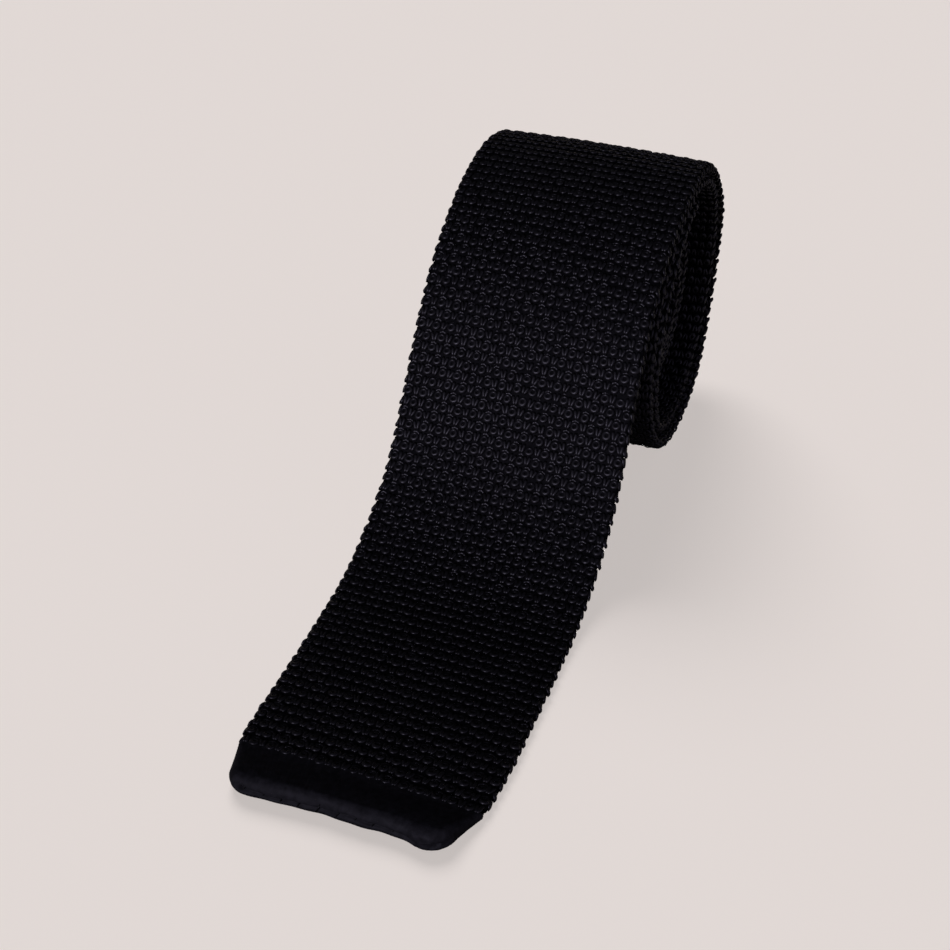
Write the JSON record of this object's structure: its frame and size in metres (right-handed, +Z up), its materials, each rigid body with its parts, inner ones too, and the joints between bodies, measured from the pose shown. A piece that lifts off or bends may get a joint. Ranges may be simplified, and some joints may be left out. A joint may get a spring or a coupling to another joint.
{
  "type": "necktie",
  "caption": "Rolled knitted necktie with square ends: the coil stands on its rim and the front blade slopes down from it to lie flat in front.",
  "frame": {"origin": "centre of the bounding box's bottom face, on the surface the tie rests on", "axes": "+X across the blade, +Y along the tie from its hem to the coil, +Z up"},
  "size_m": [0.06, 0.2094, 0.0766],
  "materials": {
    "tuck_knit": "black silk yarn in a textured tuck knit, soft sheen",
    "plain_knit": "black silk yarn in a fine plain knit",
    "thread": "black sewing thread",
    "label": "blank woven satin label",
    "tag": "blank white satin ribbon"
  },
  "bodies": {
    "coil": {"blade_wound": "tuck_knit", "front_linking_seam": "thread", "neck_band": "plain_knit", "tail_linking_seam": "thread", "tail_blade": "tuck_knit", "tail_hem": "plain_knit", "tail_hem_stitches": "thread"},
    "outer_turn": {"blade_outer_turn": "tuck_knit"},
    "drape": {"blade_drape": "tuck_knit", "keeper_loop": "plain_knit", "keeper_tacks": "thread", "woven_label": "label", "label_stitches": "thread", "fibre_tag": "tag"},
    "tip": {"blade_tip": "tuck_knit", "front_hem": "plain_knit", "front_hem_stitches": "thread"}
  },
  "joints": [
    {"name": "outer_turn_peel", "type": "hinge", "parent": "coil", "child": "outer_turn", "pos_m": [0, 0.10468, 0.0381], "axis": [-1, 0, 0], "range_deg": [0, 40]},
    {"name": "drape_lift", "type": "hinge", "parent": "outer_turn", "child": "drape", "pos_m": [0, 0.06618, 0.0766], "axis": [-1, 0, 0], "range_deg": [0, 40]},
    {"name": "tip_lift", "type": "hinge", "parent": "drape", "child": "tip", "pos_m": [0, -0.03968, 0.003], "axis": [-1, 0, 0], "range_deg": [0, 60]}
  ]
}
